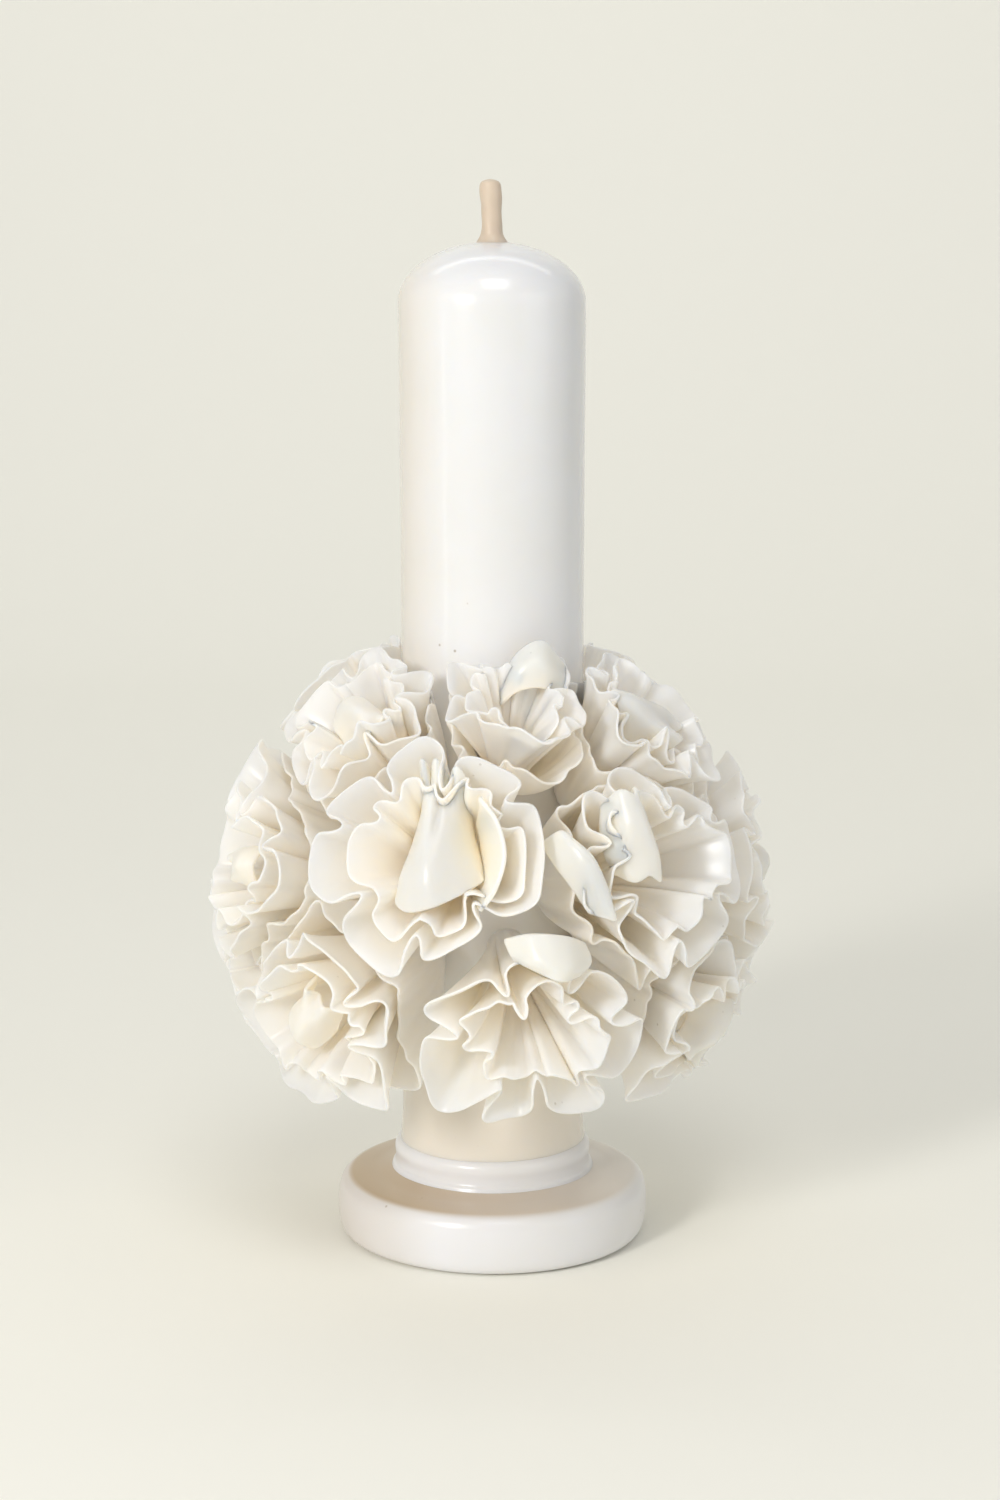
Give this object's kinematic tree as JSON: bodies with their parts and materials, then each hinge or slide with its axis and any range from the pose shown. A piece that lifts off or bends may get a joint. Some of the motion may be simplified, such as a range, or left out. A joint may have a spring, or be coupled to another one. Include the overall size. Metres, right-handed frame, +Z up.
{
  "type": "unity candle",
  "caption": "Wax pillar candle with a domed top on a thick round foot, its lower half ringed by a ball of fluted wax flowers",
  "frame": {"origin": "centre of the foot's flat underside, on the candle's axis", "axes": "+Z up along the candle; the front of the candle, with the largest flowers, faces -Y; +X is to the viewer's right"},
  "size_m": [0.155, 0.156, 0.303],
  "materials": {
    "wax": "satin cream wax, faintly translucent",
    "petal_wax": "thin satin cream wax, translucent at the rims",
    "heart_wax": "thin satin cream wax, warmer in the throats",
    "cotton": "braided cotton, soaked in wax"
  },
  "bodies": {
    "root": {"base_disc": "wax", "base_collar": "wax", "candle_column": "wax", "wick_cord": "cotton", "wick_coat": "wax", "upper_flower_1_outer_cup": "petal_wax", "upper_flower_1_inner_cup": "petal_wax", "upper_flower_1_heart": "heart_wax", "upper_flower_2_outer_cup": "petal_wax", "upper_flower_2_inner_cup": "petal_wax", "upper_flower_2_heart": "heart_wax", "upper_flower_3_outer_cup": "petal_wax", "upper_flower_3_inner_cup": "petal_wax", "upper_flower_3_heart": "heart_wax", "upper_flower_4_outer_cup": "petal_wax", "upper_flower_4_inner_cup": "petal_wax", "upper_flower_4_heart": "heart_wax", "upper_flower_5_outer_cup": "petal_wax", "upper_flower_5_inner_cup": "petal_wax", "upper_flower_5_heart": "heart_wax", "middle_flower_1_outer_cup": "petal_wax", "middle_flower_1_inner_cup": "petal_wax", "middle_flower_1_heart": "heart_wax", "middle_flower_2_outer_cup": "petal_wax", "middle_flower_2_inner_cup": "petal_wax", "middle_flower_2_heart": "heart_wax", "middle_flower_3_outer_cup": "petal_wax", "middle_flower_3_inner_cup": "petal_wax", "middle_flower_3_heart": "heart_wax", "middle_flower_4_outer_cup": "petal_wax", "middle_flower_4_inner_cup": "petal_wax", "middle_flower_4_heart": "heart_wax", "middle_flower_5_outer_cup": "petal_wax", "middle_flower_5_inner_cup": "petal_wax", "middle_flower_5_heart": "heart_wax", "middle_flower_6_outer_cup": "petal_wax", "middle_flower_6_inner_cup": "petal_wax", "middle_flower_6_heart": "heart_wax", "middle_flower_7_outer_cup": "petal_wax", "middle_flower_7_inner_cup": "petal_wax", "middle_flower_7_heart": "heart_wax", "lower_flower_1_outer_cup": "petal_wax", "lower_flower_1_inner_cup": "petal_wax", "lower_flower_1_heart": "heart_wax", "lower_flower_2_outer_cup": "petal_wax", "lower_flower_2_inner_cup": "petal_wax", "lower_flower_2_heart": "heart_wax", "lower_flower_3_outer_cup": "petal_wax", "lower_flower_3_inner_cup": "petal_wax", "lower_flower_3_heart": "heart_wax", "lower_flower_4_outer_cup": "petal_wax", "lower_flower_4_inner_cup": "petal_wax", "lower_flower_4_heart": "heart_wax", "lower_flower_5_outer_cup": "petal_wax", "lower_flower_5_inner_cup": "petal_wax", "lower_flower_5_heart": "heart_wax", "lower_flower_6_outer_cup": "petal_wax", "lower_flower_6_inner_cup": "petal_wax", "lower_flower_6_heart": "heart_wax"}
  },
  "joints": []
}
